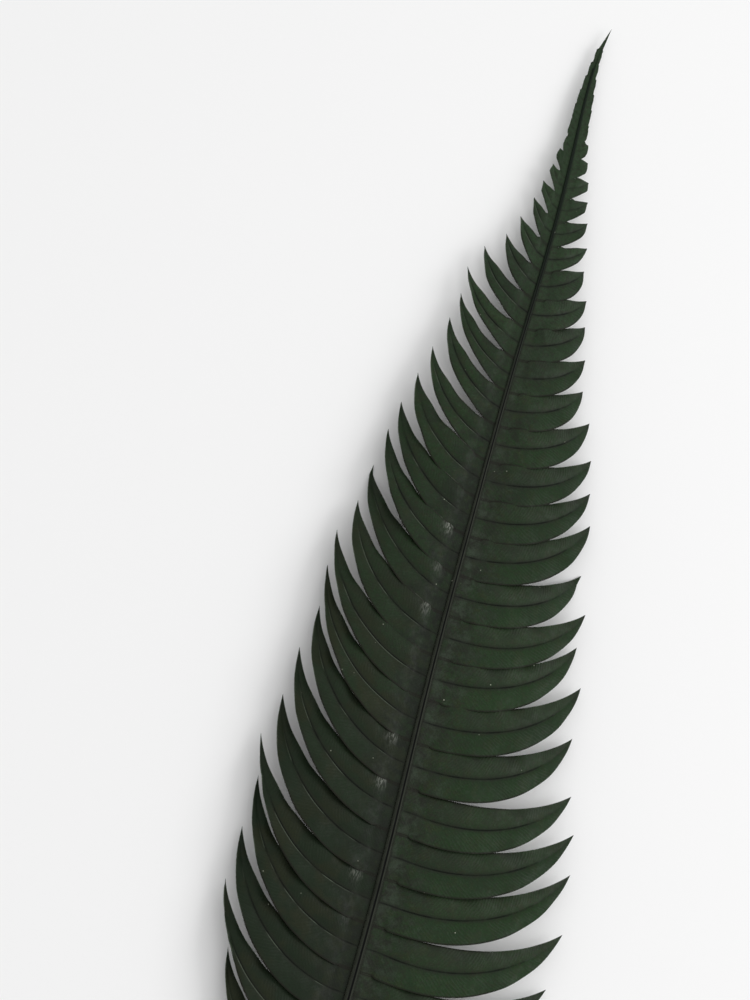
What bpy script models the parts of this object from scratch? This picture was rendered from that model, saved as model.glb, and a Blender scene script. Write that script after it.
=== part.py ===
"""A preserved fern frond lying flat: one green blade of joined pinnae on a dark stalk.

The stalk runs along +Y, tip at +Y, and the upper side of the blade faces +Z. Every
place on the frond is worked out from its distance below the tip.
"""
import math
import random

import bpy
import bmesh
from mathutils import Vector

MM = 0.001

# Driving dimensions
FROND_LENGTH = 600 * MM
BLADE_LENGTH = 507 * MM
LONGEST_PINNA = 87 * MM
LEFT_SHARE = 0.90
LEFT_SWELL = 0.20
LEFT_SWELL_PLACE = 147 * MM
LEFT_SWELL_REACH = 24 * MM
SHEET = 0.7 * MM
SLIT = 0.6 * MM
CLEARANCE = 0.32 * MM
CUT_END_RADIUS = 2.0 * MM
TIP_RADIUS = 0.38 * MM
STALK_TAPER_POWER = 0.8

# Row spacing of the pinnae, from the tip down
FIRST_ROW = 15 * MM
SMALLEST_STEP = 7.5 * MM
LARGEST_STEP = 17.1 * MM
STEP_GROWTH = 86 * MM
BARE_WING_SHARE = 0.35
LAST_ROW_ROOM = 1.5

# Growth and fading of the pinnae and of the wing that joins them
PINNA_GROWTH = 223 * MM
PINNA_GROWTH_POWER = 1.8
FADE_START = 390 * MM
FADE_LENGTH = 124 * MM
FADE_POWER = 1.6
LOBE_SHARE = 0.06
WING_AT_TIP = 0.25 * MM
WING_GAIN = 6.3 * MM
WING_GROWTH = 120 * MM
SHOULDER = 1.5 * MM
SHOULDER_PLACE = 46 * MM
SHOULDER_REACH = 20 * MM
LOBE_START = 35 * MM
LOBE_GAIN = 30 * MM

# Angles between the stalk and the line to a pinna's tip, in degrees, and how far a pinna bends
RIGHT_ANGLE_AT_TIP = 49.5
RIGHT_ANGLE_GAIN = 21.0
RIGHT_ANGLE_POWER = 1.9
LEFT_ANGLE_AT_TIP = 36.5
LEFT_ANGLE_GAIN = 13.0
LEFT_ANGLE_POWER = 1.0
LEFT_ANGLE_SWELL = 8.5
LEFT_ANGLE_SWELL_PLACE = 147 * MM
LEFT_ANGLE_SWELL_REACH = 26 * MM
ANGLE_REACH = 400 * MM
RIGHT_BEND = 62.0
LEFT_BEND = 84.0
BEND_GROWTH = 18 * MM
BEND_POWER = 1.05
WING_RISE = 0.9
WING_RISE_REACH = 110 * MM
ANGLE_DRAW = 2.5
LENGTH_DRAW = 0.04

# Shape of one pinna
COLUMN = 5.2 * MM
SHORT_COLUMN = 2 * MM
SHORT_COLUMNS = 3
COLUMN_CROWDING = 1.3
RIGHT_FULL_SHARE = 0.20
RIGHT_TAPER_POWER = 1.05
LEFT_FULL_SHARE = 0.10
LEFT_TAPER_POWER = 1.2
SHORT_LOBE = 12 * MM
TIP_SLIMMING = 0.7
TIP_SLIM_LENGTH = 30 * MM
BASE_TURN = 6 * MM
LEAST_SQUARE = 0.3
RIGHT_SLIMMING = 0.25
RIGHT_SLIM_REACH = 150 * MM
LEFT_SLIMMING = 0.26
LEFT_SLIM_REACH = 235 * MM
FOLD = 0.10
FOLD_END_SHARE = 0.33
LIFT = 0.13
ROLL = 0.05
SHORT_PINNA = 30 * MM
SHORT_PINNA_DROOP = 0.1
EDGE_WAVE = 0.5 * MM
FULL_WAVE_WIDTH = 8 * MM

# Heights of the frond above the surface it lies on
END_HEIGHT = 1.86 * MM
TIP_HEIGHT = 2.9 * MM
ARCH_HEIGHT = 12.0 * MM
ARCH_POWER = 1.3
LEVEL_END = 16 * MM
PINNA_TIP_LOW = 2.1 * MM
PINNA_TIP_SPREAD = 3.0 * MM
TOUCH_DISTANCE = 262 * MM
TOUCH_DEPTH = 3.0 * MM
TOUCH_POWER = 2.5

# Sideways bow of the stalk
BOW = 4.6 * MM
BOW_CENTRE = 228 * MM
BOW_REACH = 118 * MM
BOW_POWER = 3
APEX_BOW = 3.2 * MM
APEX_BOW_PLACE = 30 * MM

# The stalk and the V channel under it, which fades out short of the stalk's upper end
STALK_TOP = 21 * MM
STALK_BEVEL_LEVEL = 4
CHANNEL_TOP = 12 * MM
CHANNEL_FADE = 7 * MM
CHANNEL_SHARE = 0.82
CHANNEL_RIM = 0.6 * MM
WELD_DISTANCE = 0.001 * MM

SEED = 41

BLADE_GREEN = (0.034, 0.052, 0.026)
BLADE_ROUGHNESS = 0.5
STALK_BROWN = (0.042, 0.038, 0.026)
STALK_ROUGHNESS = 0.6


def stalk_radius(s):
    """Radius of the stalk at distance s below the tip."""
    return TIP_RADIUS + (CUT_END_RADIUS - TIP_RADIUS) * (s / FROND_LENGTH) ** STALK_TAPER_POWER


def stalk_axis(s):
    """Point of the stalk's axis at distance s below the tip."""
    along = max(0.0, (FROND_LENGTH - LEVEL_END - s) / (FROND_LENGTH - LEVEL_END))
    arch = ARCH_HEIGHT * math.sin(math.pi * along) ** ARCH_POWER if 0.0 < along < 1.0 else 0.0
    height = END_HEIGHT + (TIP_HEIGHT - END_HEIGHT) * along + arch
    bow = BOW * math.exp(-abs((s - BOW_CENTRE) / BOW_REACH) ** BOW_POWER)
    bow += APEX_BOW * s / APEX_BOW_PLACE * math.exp(1 - s / APEX_BOW_PLACE)
    return Vector((-bow, FROND_LENGTH / 2 - s, height))


def channel(s):
    """Half the width and the depth of the V channel in which the stalk lies."""
    half = (stalk_radius(s) + CLEARANCE) * math.sqrt(2)
    half = min(half, CHANNEL_SHARE * wing_half_width(s)) if s < STALK_TOP else half
    fade = min(1.0, max(0.0, (s - CHANNEL_TOP) / CHANNEL_FADE))
    return half, half * fade


def wing_half_width(s):
    """Reach of the joined lamina on each side of the stalk."""
    shoulder = SHOULDER * math.exp(-((s - SHOULDER_PLACE) / SHOULDER_REACH) ** 2)
    return WING_AT_TIP + WING_GAIN * (1 - math.exp(-s / WING_GROWTH)) + shoulder


def wing_rise(s, span):
    """How far towards the tip a pinna's base lies beyond its row, over a span of wing."""
    return WING_RISE * math.exp(-s / WING_RISE_REACH) * span


def row_step(s):
    """Distance between neighbouring pinnae at distance s below the tip."""
    return max(SMALLEST_STEP, LARGEST_STEP * (1 - math.exp(-s / STEP_GROWTH)))


def pinna_length(s, side):
    """Straight distance from the stalk's axis to a pinna's tip."""
    length = LONGEST_PINNA * (1 - math.exp(-(s / PINNA_GROWTH) ** PINNA_GROWTH_POWER))
    if s > FADE_START:
        length *= 1 - ((s - FADE_START) / FADE_LENGTH) ** FADE_POWER
    swell = LEFT_SWELL * math.exp(-((s - LEFT_SWELL_PLACE) / LEFT_SWELL_REACH) ** 2)
    return length if side > 0 else length * (LEFT_SHARE + swell)


def pinna_angle(s, side):
    """Angle between the stalk and the line from its axis to a pinna's tip, in radians."""
    share = min(1.0, s / ANGLE_REACH)
    if side > 0:
        degrees = RIGHT_ANGLE_AT_TIP + RIGHT_ANGLE_GAIN * share ** RIGHT_ANGLE_POWER
    else:
        degrees = LEFT_ANGLE_AT_TIP + LEFT_ANGLE_GAIN * share ** LEFT_ANGLE_POWER
        place = (s - LEFT_ANGLE_SWELL_PLACE) / LEFT_ANGLE_SWELL_REACH
        degrees += LEFT_ANGLE_SWELL * math.exp(-place * place)
    return math.radians(degrees)


def rows():
    """Distances below the tip at which the pairs of pinnae stand."""
    places = [FIRST_ROW]
    while places[-1] + LAST_ROW_ROOM * row_step(places[-1]) < BLADE_LENGTH:
        places.append(places[-1] + row_step(places[-1]))
    return places


def row_bounds(places, i):
    """Upper and lower end, as distances below the tip, of the base of pinna i."""
    upper = (places[i - 1] + places[i]) / 2 if i else places[0] - row_step(places[0]) / 2
    lower = (places[i] + places[i + 1]) / 2 if i + 1 < len(places) else places[i] + row_step(places[i]) / 2
    return upper + SLIT / 2, lower - SLIT / 2


def column_share(j, columns):
    """Share of a pinna's length at which column j stands, closer together near its tip."""
    return 1 - (1 - j / columns) ** COLUMN_CROWDING


def midrib(s, side, draw):
    """Midrib of a pinna: its points, their shares of its length and its directions there."""
    root = stalk_axis(s)
    wing = wing_half_width(s)
    reach = pinna_length(s, side) * draw.uniform(1 - LENGTH_DRAW, 1 + LENGTH_DRAW)
    angle = pinna_angle(s, side) + math.radians(draw.uniform(-ANGLE_DRAW, ANGLE_DRAW))
    out = max(reach * math.sin(angle) - wing, LOBE_SHARE * row_step(s))
    rise = wing_rise(s, wing - channel(s)[0])
    up = reach * math.cos(angle) - rise
    bend = math.radians(RIGHT_BEND if side > 0 else LEFT_BEND)
    bend *= 1 - math.exp(-math.hypot(out, up) / BEND_GROWTH)
    lobe = min(1.0, max(0.0, (s - LOBE_START) / LOBE_GAIN))
    length = math.hypot(out, up) * (bend / 2) / math.sin(bend / 2)
    length = max(length * lobe, LOBE_SHARE * row_step(s))
    first = math.atan2(out, up) + bend / (1 + BEND_POWER)
    columns = max(1, round(length / COLUMN), min(SHORT_COLUMNS, round(length / SHORT_COLUMN)))
    shares = [column_share(j, columns) for j in range(columns + 1)]
    angles = [first - bend * t ** BEND_POWER for t in shares]
    points = [Vector((root.x + side * wing, root.y + rise, root.z))]
    for a, b in zip(shares, shares[1:]):
        angle = first - bend * ((a + b) / 2) ** BEND_POWER
        ahead = Vector((side * math.sin(angle), math.cos(angle), 0))
        points.append(points[-1] + ahead * ((b - a) * length))
    tip_height = PINNA_TIP_LOW + PINNA_TIP_SPREAD * draw.random()
    droop = min(1.0, length / SHORT_PINNA)
    tip_height = tip_height * droop + (root.z - SHORT_PINNA_DROOP * length) * (1 - droop)
    for t, p in zip(shares, points):
        p.z = root.z + LIFT * length * (t - t * t) + (tip_height - root.z) * t * t
    roll = draw.uniform(-ROLL, ROLL)
    line = {"points": points, "shares": shares, "angles": angles}
    return {**line, "roll": roll, "side": side, "length": length}


def on_surface(p):
    """The point, or the one above it where the sheet lies flat on the surface."""
    return Vector((p.x, p.y, max(SHEET, p.z)))


def touch_surface(pinna):
    """Bend a pinna down until its end lies flat on the surface."""
    drop = SHEET - TOUCH_DEPTH - pinna["points"][-1].z
    for t, p in zip(pinna["shares"], pinna["points"]):
        p.z += drop * t ** TOUCH_POWER


def distance_to_line(p, line):
    """Distance in plan from a point to a line of points."""
    nearest = math.inf
    for a, b in zip(line, line[1:]):
        run = (b - a).to_2d()
        t = max(0.0, min(1.0, (p - a).to_2d().dot(run) / run.length_squared))
        nearest = min(nearest, (p.to_2d() - a.to_2d() - run * t).length)
    return nearest


def width_share(t, side, way, length):
    """Share of its full width left to the upper (way 1) or lower half of a pinna at share t."""
    if side < 0:
        full_share, power = LEFT_FULL_SHARE, LEFT_TAPER_POWER
    else:
        full_share, power = RIGHT_FULL_SHARE, RIGHT_TAPER_POWER
    run = max(0.0, (t - full_share) / (1 - full_share))
    if way > 0:
        short = math.exp(-(length / SHORT_LOBE) ** 2)
        return (1 - run * run) ** power * (1 - short) + (1 - t) * short
    return (1 - run * run) ** (power + TIP_SLIMMING * math.exp(-(length / TIP_SLIM_LENGTH) ** 2))


def slimming(s, side):
    """Share by which a pinna is slimmer than the room between its neighbours."""
    if side < 0:
        return LEFT_SLIMMING * math.exp(-(s / LEFT_SLIM_REACH) ** 2)
    return RIGHT_SLIMMING * math.exp(-(s / RIGHT_SLIM_REACH) ** 2)


def edge_direction(pinna, j):
    """Direction in plan from midrib point j to the upper edge, and how far off square it is."""
    angle = pinna["angles"][j]
    square = Vector((-pinna["side"] * math.cos(angle), math.sin(angle), 0))
    turned = min(1.0, pinna["shares"][j] * pinna["length"] / BASE_TURN)
    across = (square * turned + Vector((0, 1, 0)) * (1 - turned)).normalized()
    return across, 1 / max(LEAST_SQUARE, across.dot(square))


def pinna_edges(pinnae, i, places):
    """Points of the upper and lower edge of pinna i, between its base and its tip."""
    pinna = pinnae[i]
    points = pinna["points"]
    slim = 1 - slimming(places[i], pinna["side"])
    full = row_step(places[i]) / 2 - SLIT / 2
    upper = []
    lower = []
    spare = {1: 1.0, -1: 1.0}
    for j in range(1, len(points) - 1):
        t = pinna["shares"][j]
        wave = EDGE_WAVE * (1 if j % 2 else -1) * min(1.0, full / FULL_WAVE_WIDTH)
        across, off_square = edge_direction(pinna, j)
        for edge, way, neighbour in ((upper, 1, i - 1), (lower, -1, i + 1)):
            taper = width_share(t, pinna["side"], way, pinna["length"])
            half = full * taper + wave * (1 - taper) * taper
            if 0 <= neighbour < len(pinnae):
                room = distance_to_line(points[j], pinnae[neighbour]["points"]) / 2 * off_square
                spare[way] = min(spare[way], (room - SLIT / 2) * slim / (full * taper))
                half = min(half, full * taper * spare[way])
            lift = (FOLD - way * pinna["roll"]) * half * min(1.0, (1 - t) / FOLD_END_SHARE)
            p = points[j] + across * (way * half)
            p.z += lift
            edge.append(on_surface(p))
    return upper, lower


def cross_row(mesh, s, wing):
    """Points of the wings, slanting towards the tip, and the channel across the stalk at s."""
    axis = stalk_axis(s)
    half, depth = channel(s)
    rise = wing_rise(s, wing - half)
    offsets = ((-wing, rise, 0), (-half, 0, 0), (0, 0, -depth), (half, 0, 0), (wing, rise, 0))
    return [mesh.verts.new(axis + Vector(offset)) for offset in offsets]


def add_faces(mesh, above, below, turned=False):
    """Faces between two rows of points, or between a row and the one point it runs out in."""
    for c in range(len(above) - 1):
        if len(below) == 1:
            face = (above[c], below[0], above[c + 1])
        else:
            face = (above[c], below[c], below[c + 1], above[c + 1])
        mesh.faces.new(face[::-1] if turned else face)


def add_pinna(mesh, pinna, base, upper, lower):
    """Surface of one pinna, from its base points on the wing to its tip."""
    turned = pinna["side"] > 0
    rows_across = [base]
    for u, middle, w in zip(upper, pinna["points"][1:], lower):
        rows_across.append([mesh.verts.new(p) for p in (u, on_surface(middle), w)])
    rows_across.append([mesh.verts.new(on_surface(pinna["points"][-1]))])
    for a, b in zip(rows_across, rows_across[1:]):
        add_faces(mesh, a, b, turned)


def blade_mesh(places):
    """Upper surface of the blade: channel, wings and pinnae joined edge to edge."""
    draw = random.Random(SEED)
    sides = {side: [midrib(s, side, draw) for s in places] for side in (1, -1)}
    touching = min(range(len(places)), key=lambda i: abs(places[i] - TOUCH_DISTANCE))
    for side in (1, -1):
        touch_surface(sides[side][touching])

    mesh = bmesh.new()
    marks = []
    for i, s in enumerate(places):
        upper_end, lower_end = row_bounds(places, i)
        marks += [upper_end, s, lower_end]
    grid = [cross_row(mesh, s, wing_half_width(s)) for s in marks]
    end = marks[-1] + BARE_WING_SHARE * row_step(marks[-1])
    grid.append(cross_row(mesh, end, channel(end)[0] + CHANNEL_RIM))
    add_faces(mesh, grid[0], [mesh.verts.new(stalk_axis(0.0))], turned=True)
    for above, below in zip(grid, grid[1:]):
        add_faces(mesh, above, below)

    for side in (1, -1):
        outer = -1 if side > 0 else 0
        for i in range(len(places)):
            base = [row[outer] for row in grid[3 * i:3 * i + 3]]
            upper, lower = pinna_edges(sides[side], i, places)
            add_pinna(mesh, sides[side][i], base, upper, lower)
    bmesh.ops.triangulate(mesh, faces=mesh.faces[:])
    return mesh


def material(name, colour, roughness):
    """Principled material of one colour."""
    made = bpy.data.materials.new(name)
    made.use_nodes = True
    shader = made.node_tree.nodes["Principled BSDF"]
    shader.inputs["Base Color"].default_value = (*colour, 1)
    shader.inputs["Roughness"].default_value = roughness
    shader.inputs["Metallic"].default_value = 0.0
    made.diffuse_color = (*colour, 1)
    return made


def add_blade(collection, places):
    """The green blade, a thin sheet below its upper surface."""
    surface = blade_mesh(places)
    mesh = bpy.data.meshes.new("blade")
    surface.to_mesh(mesh)
    surface.free()
    mesh.materials.append(material("fern_green", BLADE_GREEN, BLADE_ROUGHNESS))
    mesh.shade_smooth()
    blade = bpy.data.objects.new("blade", mesh)
    collection.objects.link(blade)
    sheet = blade.modifiers.new("sheet", "SOLIDIFY")
    sheet.thickness = SHEET
    sheet.offset = -1
    return blade


def stalk_rod(collection, places):
    """The stalk as a closed tapered rod, before its flat is cut."""
    curve = bpy.data.curves.new("stalk_line", "CURVE")
    curve.dimensions = "3D"
    curve.twist_mode = "Z_UP"
    curve.bevel_depth = 1.0
    curve.bevel_resolution = STALK_BEVEL_LEVEL
    curve.use_fill_caps = True
    line = [STALK_TOP] + [s for s in places if s > STALK_TOP + MM]
    bare_steps = round((FROND_LENGTH - LEVEL_END - line[-1]) / LARGEST_STEP)
    bare_step = (FROND_LENGTH - LEVEL_END - line[-1]) / bare_steps
    line += [line[-1] + bare_step * (i + 1) for i in range(bare_steps)] + [FROND_LENGTH]
    spline = curve.splines.new("POLY")
    spline.points.add(len(line) - 1)
    for point, s in zip(spline.points, line):
        point.co = (*stalk_axis(s), 1)
        point.radius = stalk_radius(s)
    rod = bpy.data.objects.new("stalk_rod", curve)
    collection.objects.link(rod)
    bpy.context.view_layer.update()
    solid = rod.evaluated_get(bpy.context.evaluated_depsgraph_get())
    mesh = bpy.data.meshes.new_from_object(solid)
    bpy.data.objects.remove(rod)
    welded = bmesh.new()
    welded.from_mesh(mesh)
    bmesh.ops.remove_doubles(welded, verts=welded.verts, dist=WELD_DISTANCE)
    welded.to_mesh(mesh)
    welded.free()
    return mesh


def add_stalk(collection, cutters, places):
    """The stalk with a small flat under its cut end, on which it lies."""
    mesh = stalk_rod(collection, places)
    mesh.materials.clear()
    mesh.materials.append(material("stalk_brown", STALK_BROWN, STALK_ROUGHNESS))
    mesh.shade_smooth()
    stalk = bpy.data.objects.new("stalk", mesh)
    collection.objects.link(stalk)

    bpy.ops.mesh.primitive_cube_add(size=2 * FROND_LENGTH, location=(0, 0, -FROND_LENGTH))
    below = bpy.context.object
    below.name = "below_surface"
    below.display_type = "WIRE"
    below.hide_render = True
    for owner in below.users_collection:
        owner.objects.unlink(below)
    cutters.objects.link(below)
    flat = stalk.modifiers.new("flat", "BOOLEAN")
    flat.operation = "DIFFERENCE"
    flat.object = below
    return stalk


def new_collection(name):
    """A collection in the scene."""
    made = bpy.data.collections.new(name)
    bpy.context.scene.collection.children.link(made)
    return made


def centre_in_plan(objects):
    """Move all pieces so that the whole is centred over the origin."""
    bpy.context.view_layer.update()
    graph = bpy.context.evaluated_depsgraph_get()
    corners = []
    for one in objects:
        mesh = one.evaluated_get(graph).to_mesh()
        corners += [one.matrix_world @ v.co for v in mesh.vertices]
    for axis in (0, 1):
        middle = (min(c[axis] for c in corners) + max(c[axis] for c in corners)) / 2
        for one in objects:
            one.location[axis] -= middle


def main():
    for old in list(bpy.data.objects):
        bpy.data.objects.remove(old)
    frond = new_collection("fern_frond")
    cutters = new_collection("cutters")
    places = rows()
    blade = add_blade(frond, places)
    stalk = add_stalk(frond, cutters, places)
    centre_in_plan([blade, stalk])


main()
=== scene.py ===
"""Looks of the preserved fern frond: fine lamina and stalk over the CAD solids, floor, light, camera."""
import math
import random

import bmesh
import bpy
from mathutils import Matrix, Vector, noise


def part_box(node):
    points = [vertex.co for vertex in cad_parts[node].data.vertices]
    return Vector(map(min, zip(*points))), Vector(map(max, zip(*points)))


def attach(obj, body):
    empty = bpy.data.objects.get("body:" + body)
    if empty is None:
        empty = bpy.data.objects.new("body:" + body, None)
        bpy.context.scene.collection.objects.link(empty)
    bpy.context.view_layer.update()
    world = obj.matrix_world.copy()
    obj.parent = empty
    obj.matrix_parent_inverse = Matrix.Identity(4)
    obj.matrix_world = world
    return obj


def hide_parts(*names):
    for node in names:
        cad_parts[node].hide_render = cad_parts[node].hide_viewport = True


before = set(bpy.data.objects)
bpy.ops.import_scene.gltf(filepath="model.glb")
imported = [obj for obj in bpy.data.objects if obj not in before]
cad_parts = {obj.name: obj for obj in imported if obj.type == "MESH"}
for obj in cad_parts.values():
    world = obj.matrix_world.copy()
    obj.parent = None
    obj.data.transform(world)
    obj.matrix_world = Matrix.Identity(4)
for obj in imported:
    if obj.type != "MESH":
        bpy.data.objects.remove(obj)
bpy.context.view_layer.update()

MM = 0.001

# Driving dimensions, the same as the solids'
FROND_LENGTH = 600 * MM
BLADE_LENGTH = 507 * MM
LONGEST_PINNA = 87 * MM
LEFT_SHARE = 0.90
LEFT_SWELL = 0.20
LEFT_SWELL_PLACE = 147 * MM
LEFT_SWELL_REACH = 24 * MM
CAD_SHEET = 0.7 * MM
CUT_END_RADIUS = 2.0 * MM
TIP_RADIUS = 0.38 * MM
STALK_TAPER_POWER = 0.8
FIRST_ROW = 15 * MM
SMALLEST_STEP = 7.5 * MM
LARGEST_STEP = 17.1 * MM
STEP_GROWTH = 86 * MM
BARE_WING_SHARE = 0.35
LAST_ROW_ROOM = 1.5
PINNA_GROWTH = 223 * MM
PINNA_GROWTH_POWER = 1.8
FADE_START = 390 * MM
FADE_LENGTH = 124 * MM
FADE_POWER = 1.6
LOBE_SHARE = 0.06
WING_AT_TIP = 0.25 * MM
WING_GAIN = 6.3 * MM
WING_GROWTH = 120 * MM
SHOULDER = 1.5 * MM
SHOULDER_PLACE = 46 * MM
SHOULDER_REACH = 20 * MM
LOBE_START = 35 * MM
LOBE_GAIN = 30 * MM
RIGHT_ANGLE_AT_TIP = 49.5
RIGHT_ANGLE_GAIN = 21.0
RIGHT_ANGLE_POWER = 1.9
LEFT_ANGLE_AT_TIP = 36.5
LEFT_ANGLE_GAIN = 13.0
LEFT_ANGLE_POWER = 1.0
LEFT_ANGLE_SWELL = 8.5
LEFT_ANGLE_SWELL_PLACE = 147 * MM
LEFT_ANGLE_SWELL_REACH = 26 * MM
ANGLE_REACH = 400 * MM
RIGHT_BEND = 62.0
LEFT_BEND = 84.0
BEND_GROWTH = 18 * MM
BEND_POWER = 1.05
WING_RISE = 0.9
WING_RISE_REACH = 110 * MM
ANGLE_DRAW = 2.5
LENGTH_DRAW = 0.04
RIGHT_FULL_SHARE = 0.20
RIGHT_TAPER_POWER = 1.05
LEFT_FULL_SHARE = 0.10
LEFT_TAPER_POWER = 1.2
SHORT_LOBE = 12 * MM
TIP_SLIMMING = 0.7
TIP_SLIM_LENGTH = 30 * MM
BASE_TURN = 6 * MM
LEAST_SQUARE = 0.3
RIGHT_SLIMMING = 0.25
RIGHT_SLIM_REACH = 150 * MM
LEFT_SLIMMING = 0.26
LEFT_SLIM_REACH = 235 * MM
LIFT = 0.13
ROLL = 0.05
SHORT_PINNA = 30 * MM
SHORT_PINNA_DROOP = 0.1
END_HEIGHT = 1.86 * MM
TIP_HEIGHT = 2.9 * MM
ARCH_HEIGHT = 12.0 * MM
ARCH_POWER = 1.3
LEVEL_END = 16 * MM
PINNA_TIP_LOW = 2.1 * MM
PINNA_TIP_SPREAD = 3.0 * MM
TOUCH_DISTANCE = 262 * MM
TOUCH_DEPTH = 3.0 * MM
TOUCH_POWER = 2.5
BOW = 4.6 * MM
BOW_CENTRE = 228 * MM
BOW_REACH = 118 * MM
BOW_POWER = 3
APEX_BOW = 3.2 * MM
APEX_BOW_PLACE = 30 * MM
STALK_TOP = 21 * MM
CHANNEL_TOP = 8 * MM
CHANNEL_FADE = 9 * MM
CHANNEL_RIM = 0.6 * MM
SEED = 41

# Fine form of the lamina, which only the looks have
SHEET = 0.34 * MM
COLUMN = 0.78 * MM
ACROSS = (-1.0, -0.72, -0.42, -0.16, 0.0, 0.16, 0.42, 0.72, 1.0)
MIDRIB_HALF_WIDTH = 0.5 * MM
MIDRIB_DEPTH = 0.24 * MM
SEAM_DEPTH = 0.14 * MM
SEAT = 0.06 * MM
NOTCH = 0.14 * MM
OVERLAP = 1.2 * MM
OVERLAP_GAIN = 1.8 * MM
LEFT_OPEN_TO = 200 * MM
RIGHT_OPEN_TO = 112 * MM
OPEN_GAP = 0.4 * MM
EDGE_STEP = 0.38 * MM
EDGE_STEP_GAIN = 4.0 * MM
SLIM_GAIN = 8.0 * MM
CLOSED_SHARE = 0.34
TOOTH = 0.10 * MM
TOOTH_PITCH = 1.9 * MM
TOOTHED_FROM = 0.6
FOLD = 0.20
RECURVE = 0.17
RIPPLE = 0.55 * MM
RIPPLE_PITCH = 17 * MM
BUCKLE = 0.35 * MM
BUCKLE_SIZE = 9 * MM
BUCKLED_FROM = 225 * MM
# Where the buckles beside the left sinuses rise and how high; their strength also lays a painted sheen
SHINE_PLACE = 4.0 * MM
SHINE_REACH = 2.7 * MM
SHINE_ACROSS = 0.9
SHINE_WIDTH = 0.30
SHINE_RISE = 0.7 * MM
CHANNEL_POINTS = 13
WING_COLUMNS = (0.66, 0.33)
NEAR_MIDRIB = 0.2
MIDRIB_COLUMN = 0.9
FULL_GROOVE_HALF = 2 * MM
FULL_GROOVE_WING = 3 * MM
SEAM_FROM = 0.75
SETTLE_LENGTH = 6 * MM
CALM_TIP = 0.33
STEP_FADE_FROM = 0.45
STEP_FADE_OVER = 0.3
TOOTH_RISE = 0.75
TOOTH_GAIN = 0.2
TOOTH_FADE = 3
RIPPLE_LEAST = 0.4
RIPPLE_GAIN_FROM = 0.3
RIPPLE_GAIN_OVER = 0.3
RIPPLE_TURN = 2.0
PLAIN_TONE = 0.5
SHARP_LAMINA_EDGE = 55

# Grooves along the stalk's upper side: their places and widths as shares of its radius, and
# their depths as shares of the deepest one's
GROOVES = (-0.12, 0.68)
GROOVE_SHARES = (1.0, 0.35)
GROOVE_WIDTHS = (0.20, 0.12)
GROOVE_DEPTH = 0.16
STALK_SIDES = 36
STALK_STEP = 1.6 * MM
STALK_SLIM = 0.985
STALK_ROUGH = 0.03
ROUGH_AROUND = 2.2
ROUGH_ALONG = 7 * MM
PITH_SHARE = 0.6
UNDERSIDE = 2.0
SHARP_STALK_EDGE = 50

# Where the stalk's cut end stands in plan
SHIFT_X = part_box("stalk")[1].x - CUT_END_RADIUS


def ease(x):
    """Smooth step from 0 to 1."""
    x = min(1.0, max(0.0, x))
    return x * x * (3 - 2 * x)


def stalk_radius(s):
    """Radius of the stalk at distance s below the tip."""
    return TIP_RADIUS + (CUT_END_RADIUS - TIP_RADIUS) * (s / FROND_LENGTH) ** STALK_TAPER_POWER


def stalk_axis(s):
    """Point of the stalk's axis at distance s below the tip."""
    along = max(0.0, (FROND_LENGTH - LEVEL_END - s) / (FROND_LENGTH - LEVEL_END))
    arch = ARCH_HEIGHT * math.sin(math.pi * along) ** ARCH_POWER if 0.0 < along < 1.0 else 0.0
    height = END_HEIGHT + (TIP_HEIGHT - END_HEIGHT) * along + arch
    bow = BOW * math.exp(-abs((s - BOW_CENTRE) / BOW_REACH) ** BOW_POWER)
    bow += APEX_BOW * s / APEX_BOW_PLACE * math.exp(1 - s / APEX_BOW_PLACE)
    return Vector((SHIFT_X - bow, FROND_LENGTH / 2 - s, height))


def channel(s):
    """Half the width and the depth of the channel in which the stalk lies."""
    half = stalk_radius(s) + SEAT
    fade = min(1.0, max(0.0, (s - CHANNEL_TOP) / CHANNEL_FADE))
    return half, half * fade


def wing_half_width(s):
    """Reach of the joined lamina on each side of the stalk."""
    shoulder = SHOULDER * math.exp(-((s - SHOULDER_PLACE) / SHOULDER_REACH) ** 2)
    return WING_AT_TIP + WING_GAIN * (1 - math.exp(-s / WING_GROWTH)) + shoulder


def wing_rise(s, span):
    """How far towards the tip a pinna's base lies beyond its row, over a span of wing."""
    return WING_RISE * math.exp(-s / WING_RISE_REACH) * span


def row_step(s):
    """Distance between neighbouring pinnae at distance s below the tip."""
    return max(SMALLEST_STEP, LARGEST_STEP * (1 - math.exp(-s / STEP_GROWTH)))


def pinna_length(s, side):
    """Straight distance from the stalk's axis to a pinna's tip."""
    length = LONGEST_PINNA * (1 - math.exp(-(s / PINNA_GROWTH) ** PINNA_GROWTH_POWER))
    if s > FADE_START:
        length *= 1 - ((s - FADE_START) / FADE_LENGTH) ** FADE_POWER
    swell = LEFT_SWELL * math.exp(-((s - LEFT_SWELL_PLACE) / LEFT_SWELL_REACH) ** 2)
    return length if side > 0 else length * (LEFT_SHARE + swell)


def pinna_angle(s, side):
    """Angle between the stalk and the line from its axis to a pinna's tip, in radians."""
    share = min(1.0, s / ANGLE_REACH)
    if side > 0:
        degrees = RIGHT_ANGLE_AT_TIP + RIGHT_ANGLE_GAIN * share ** RIGHT_ANGLE_POWER
    else:
        degrees = LEFT_ANGLE_AT_TIP + LEFT_ANGLE_GAIN * share ** LEFT_ANGLE_POWER
        place = (s - LEFT_ANGLE_SWELL_PLACE) / LEFT_ANGLE_SWELL_REACH
        degrees += LEFT_ANGLE_SWELL * math.exp(-place * place)
    return math.radians(degrees)


def rows():
    """Distances below the tip at which the pairs of pinnae stand."""
    places = [FIRST_ROW]
    while places[-1] + LAST_ROW_ROOM * row_step(places[-1]) < BLADE_LENGTH:
        places.append(places[-1] + row_step(places[-1]))
    return places


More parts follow.
